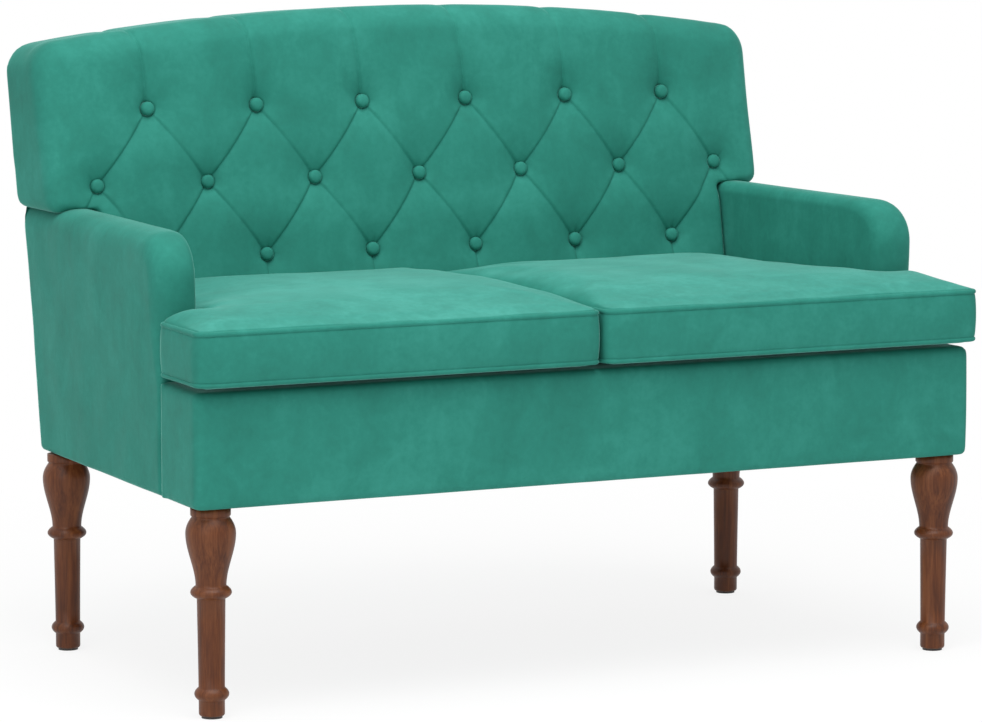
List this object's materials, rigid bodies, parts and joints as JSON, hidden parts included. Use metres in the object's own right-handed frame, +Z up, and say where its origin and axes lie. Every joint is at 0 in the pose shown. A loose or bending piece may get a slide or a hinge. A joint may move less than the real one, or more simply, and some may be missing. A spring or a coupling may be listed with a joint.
{
  "type": "two-seat settee",
  "caption": "Straight two-seat settee with a diamond-tufted T-shaped back, low padded arms, loose T-shaped seat cushions with welts and turned wooden legs.",
  "frame": {"origin": "on the floor, at the middle of the settee's box", "axes": "+X across the seat to the right as seen from the front, +Y to the rear, +Z up"},
  "size_m": [1.206, 0.7496, 0.91],
  "materials": {
    "velvet": "short-pile velvet with a brushed nap",
    "leg_wood": "red-brown stain, satin lacquer",
    "frame_wood": "bare softwood and plywood",
    "hardboard": "bare hardboard",
    "foam": "upholstery foam",
    "webbing": "elastic webbing",
    "dust_cloth": "black spun cloth",
    "deck_cloth": "plain deck cloth over felt",
    "steel": "zinc plated",
    "glide_plastic": "moulded"
  },
  "bodies": {
    "settee": {"apron_cover": "velvet", "arm_bolts": "steel", "back_bolts": "steel", "back_bottom_rail": "frame_wood", "back_cover": "velvet", "back_foam": "foam", "back_outside_panel": "velvet", "back_top_rail": "frame_wood", "back_webbing": "webbing", "button_ties": "webbing", "centre_stretcher": "frame_wood", "corner_gussets": "frame_wood", "dust_cover": "dust_cloth", "foot_glides": "glide_plastic", "front_legs": "leg_wood", "front_rail": "frame_wood", "front_top_board": "frame_wood", "inner_front_rail": "frame_wood", "left_arm_bottom_rail": "frame_wood", "left_arm_cover": "velvet", "left_arm_front_post": "frame_wood", "left_arm_panels": "hardboard", "left_arm_rear_post": "frame_wood", "left_arm_top_rail": "frame_wood", "left_back_ear_frame": "frame_wood", "left_back_post": "frame_wood", "left_end_board": "frame_wood", "left_side_rail": "frame_wood", "leg_blocks": "frame_wood", "leg_bolts": "steel", "leg_t_nuts": "steel", "rear_legs": "leg_wood", "rear_rail": "frame_wood", "right_arm_bottom_rail": "frame_wood", "right_arm_cover": "velvet", "right_arm_front_post": "frame_wood", "right_arm_panels": "hardboard", "right_arm_rear_post": "frame_wood", "right_arm_top_rail": "frame_wood", "right_back_ear_frame": "frame_wood", "right_back_post": "frame_wood", "right_end_board": "frame_wood", "right_side_rail": "frame_wood", "seat_deck": "deck_cloth", "seat_webbing": "webbing", "tufting_buttons": "velvet"},
    "left_cushion": {"left_cushion_bottom_welt": "velvet", "left_cushion_cover": "velvet", "left_cushion_foam": "foam", "left_cushion_top_welt": "velvet"},
    "right_cushion": {"right_cushion_bottom_welt": "velvet", "right_cushion_cover": "velvet", "right_cushion_foam": "foam", "right_cushion_top_welt": "velvet"}
  },
  "joints": [
    {"name": "left_cushion_lift", "type": "slide", "parent": "settee", "child": "left_cushion", "axis": [0, 0, 1], "range_m": [0, 0.5]},
    {"name": "right_cushion_lift", "type": "slide", "parent": "settee", "child": "right_cushion", "axis": [0, 0, 1], "range_m": [0, 0.5]}
  ]
}
